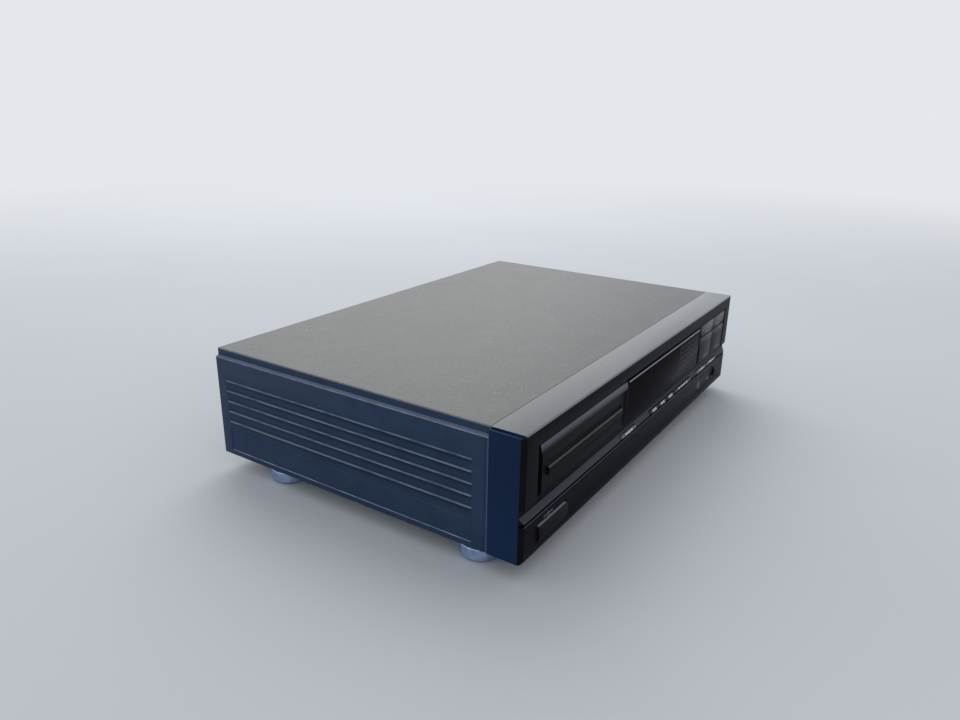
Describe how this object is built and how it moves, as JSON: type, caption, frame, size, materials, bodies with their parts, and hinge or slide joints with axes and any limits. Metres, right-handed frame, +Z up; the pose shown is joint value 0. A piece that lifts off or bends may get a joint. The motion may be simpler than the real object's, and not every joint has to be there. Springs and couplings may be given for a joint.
{
  "type": "cd player",
  "caption": "Component disc player: folded steel case on ring feet, fascia with sloping key strip, sliding disc tray with rack drive, swinging laser arm and lifting clamp.",
  "frame": {"origin": "centre of the bounding box's base, on the surface the feet stand on", "axes": "+Z up, the front faces -Y, +X to the right seen from the front"},
  "size_m": [0.4208, 0.2892, 0.103],
  "materials": {
    "cover_paint": "satin, fine-textured dark grey",
    "fascia_plastic": "satin dark grey",
    "key_plastic": "satin grey",
    "smoked_window": "glossy smoked black",
    "tube_glass": "clear glass over a grid",
    "foot_silver": "polished silver",
    "rubber": "matt black",
    "zinc_steel": "zinc plated",
    "circuit_board": "green lacquer",
    "black_plastic": "matt black",
    "white_plastic": "natural white",
    "bare_aluminium": "plain",
    "transformer_core": "varnished laminations and winding",
    "sleeve": "printed sleeve",
    "lens_glass": "coated lens",
    "cable_grey": "grey ribbon"
  },
  "bodies": {
    "case": {"fascia": "fascia_plastic", "display_window": "smoked_window", "display_tube": "tube_glass", "power_switch": "black_plastic", "phones_socket": "black_plastic", "front_board": "circuit_board", "bottom_chassis": "zinc_steel", "top_cover": "cover_paint", "rear_panel": "cover_paint", "cover_screw_1": "zinc_steel", "cover_screw_2": "zinc_steel", "cover_screw_3": "zinc_steel", "line_out_sockets": "black_plastic", "digital_out_socket": "black_plastic", "mains_inlet": "black_plastic", "main_board": "circuit_board", "heat_sink": "bare_aluminium", "filter_capacitor_1": "sleeve", "filter_capacitor_2": "sleeve", "flat_cable": "cable_grey", "mains_transformer": "transformer_core", "foot_front_left": "foot_silver", "foot_pad_front_left": "rubber", "foot_front_right": "foot_silver", "foot_pad_front_right": "rubber", "foot_rear_left": "foot_silver", "foot_pad_rear_left": "rubber", "foot_rear_right": "foot_silver", "foot_pad_rear_right": "rubber", "loading_motor": "bare_aluminium", "drive_belt": "rubber", "loader_frame": "black_plastic", "mechanism_plate": "bare_aluminium", "rubber_grommet_1": "rubber", "rubber_grommet_2": "rubber", "rubber_grommet_3": "rubber", "spindle_motor": "zinc_steel"},
    "tray": {"disc_tray": "black_plastic", "tray_door": "fascia_plastic"},
    "tray_gear": {"tray_gear": "white_plastic"},
    "drive_pulley": {"drive_pulley": "white_plastic"},
    "motor_pulley": {"motor_pulley": "white_plastic"},
    "turntable": {"turntable": "black_plastic"},
    "laser_arm": {"laser_arm": "bare_aluminium", "objective_lens": "lens_glass"},
    "clamp_arm": {"clamp_arm": "zinc_steel"},
    "clamp_puck": {"clamp_puck": "black_plastic"},
    "power_key": {"power_key": "key_plastic"},
    "open_close_key": {"open_close_key": "key_plastic"},
    "strip_key_1": {"strip_key_1": "key_plastic"},
    "strip_key_2": {"strip_key_2": "key_plastic"},
    "strip_key_3": {"strip_key_3": "key_plastic"},
    "long_key": {"long_key": "key_plastic"},
    "skip_key_1": {"skip_key_1": "key_plastic"},
    "skip_key_2": {"skip_key_2": "key_plastic"},
    "play_key_upper_left": {"play_key_upper_left": "key_plastic"},
    "play_key_upper_right": {"play_key_upper_right": "key_plastic"},
    "play_key_lower_left": {"play_key_lower_left": "key_plastic"},
    "play_key_lower_right": {"play_key_lower_right": "key_plastic"}
  },
  "joints": [
    {"name": "tray_slide", "type": "slide", "parent": "case", "child": "tray", "axis": [0, -1, 0], "range_m": [0, 0.14]},
    {"name": "tray_gear_spin", "type": "hinge", "parent": "case", "child": "tray_gear", "pos_m": [-0.0814, -0.0958, 0.0748], "axis": [0, 0, 1], "range_deg": [-645, 0]},
    {"name": "drive_pulley_spin", "type": "hinge", "parent": "case", "child": "drive_pulley", "pos_m": [-0.1014, -0.0958, 0.0697], "axis": [0, 0, 1], "range_deg": [0, 1075]},
    {"name": "motor_pulley_spin", "type": "hinge", "parent": "case", "child": "motor_pulley", "pos_m": [-0.1549, -0.0958, 0.0697], "axis": [0, 0, 1], "range_deg": [0, 5710]},
    {"name": "turntable_spin", "type": "hinge", "parent": "case", "child": "turntable", "pos_m": [-0.1209, -0.0652, 0.082], "axis": [0, 0, 1], "continuous": true},
    {"name": "laser_arm_swing", "type": "hinge", "parent": "case", "child": "laser_arm", "pos_m": [-0.1664, -0.04446, 0.06], "axis": [0, 0, 1], "range_deg": [0, 42]},
    {"name": "clamp_arm_lift", "type": "hinge", "parent": "case", "child": "clamp_arm", "pos_m": [-0.1209, 0.0536, 0.089], "axis": [-1, 0, 0], "range_deg": [0, 3.5]},
    {"name": "clamp_puck_spin", "type": "hinge", "parent": "clamp_arm", "child": "clamp_puck", "pos_m": [-0.1209, -0.0652, 0.088], "axis": [0, 0, 1], "continuous": true},
    {"name": "power_key_push", "type": "slide", "parent": "case", "child": "power_key", "axis": [0, 1, 0], "range_m": [0, 0.004], "stiffness_N_per_m": 300, "springref_m": -0.002},
    {"name": "open_close_key_push", "type": "slide", "parent": "case", "child": "open_close_key", "axis": [0, 0.8693, -0.4943], "range_m": [0, 0.001], "stiffness_N_per_m": 800, "springref_m": -0.0005},
    {"name": "strip_key_1_push", "type": "slide", "parent": "case", "child": "strip_key_1", "axis": [0, 0.8693, -0.4943], "range_m": [0, 0.001], "stiffness_N_per_m": 800, "springref_m": -0.0005},
    {"name": "strip_key_2_push", "type": "slide", "parent": "case", "child": "strip_key_2", "axis": [0, 0.8693, -0.4943], "range_m": [0, 0.001], "stiffness_N_per_m": 800, "springref_m": -0.0005},
    {"name": "strip_key_3_push", "type": "slide", "parent": "case", "child": "strip_key_3", "axis": [0, 0.8693, -0.4943], "range_m": [0, 0.001], "stiffness_N_per_m": 800, "springref_m": -0.0005},
    {"name": "long_key_push", "type": "slide", "parent": "case", "child": "long_key", "axis": [0, 0.8693, -0.4943], "range_m": [0, 0.001], "stiffness_N_per_m": 800, "springref_m": -0.0005},
    {"name": "skip_key_1_push", "type": "slide", "parent": "case", "child": "skip_key_1", "axis": [0, 0.8693, -0.4943], "range_m": [0, 0.001], "stiffness_N_per_m": 800, "springref_m": -0.0005},
    {"name": "skip_key_2_push", "type": "slide", "parent": "case", "child": "skip_key_2", "axis": [0, 0.8693, -0.4943], "range_m": [0, 0.001], "stiffness_N_per_m": 800, "springref_m": -0.0005},
    {"name": "play_key_upper_left_push", "type": "slide", "parent": "case", "child": "play_key_upper_left", "axis": [0, 1, 0], "range_m": [0, 0.0012], "stiffness_N_per_m": 800, "springref_m": -0.0005},
    {"name": "play_key_upper_right_push", "type": "slide", "parent": "case", "child": "play_key_upper_right", "axis": [0, 1, 0], "range_m": [0, 0.0012], "stiffness_N_per_m": 800, "springref_m": -0.0005},
    {"name": "play_key_lower_left_push", "type": "slide", "parent": "case", "child": "play_key_lower_left", "axis": [0, 1, 0], "range_m": [0, 0.0012], "stiffness_N_per_m": 800, "springref_m": -0.0005},
    {"name": "play_key_lower_right_push", "type": "slide", "parent": "case", "child": "play_key_lower_right", "axis": [0, 1, 0], "range_m": [0, 0.0012], "stiffness_N_per_m": 800, "springref_m": -0.0005}
  ],
  "couplings": [
    {"joint": "tray_gear_spin", "follows": "tray_slide", "rad_per_m": -80},
    {"joint": "drive_pulley_spin", "follows": "tray_slide", "rad_per_m": 133.33},
    {"joint": "motor_pulley_spin", "follows": "tray_slide", "rad_per_m": 711.11},
    {"joint": "clamp_puck_spin", "follows": "turntable_spin", "ratio": 1}
  ]
}
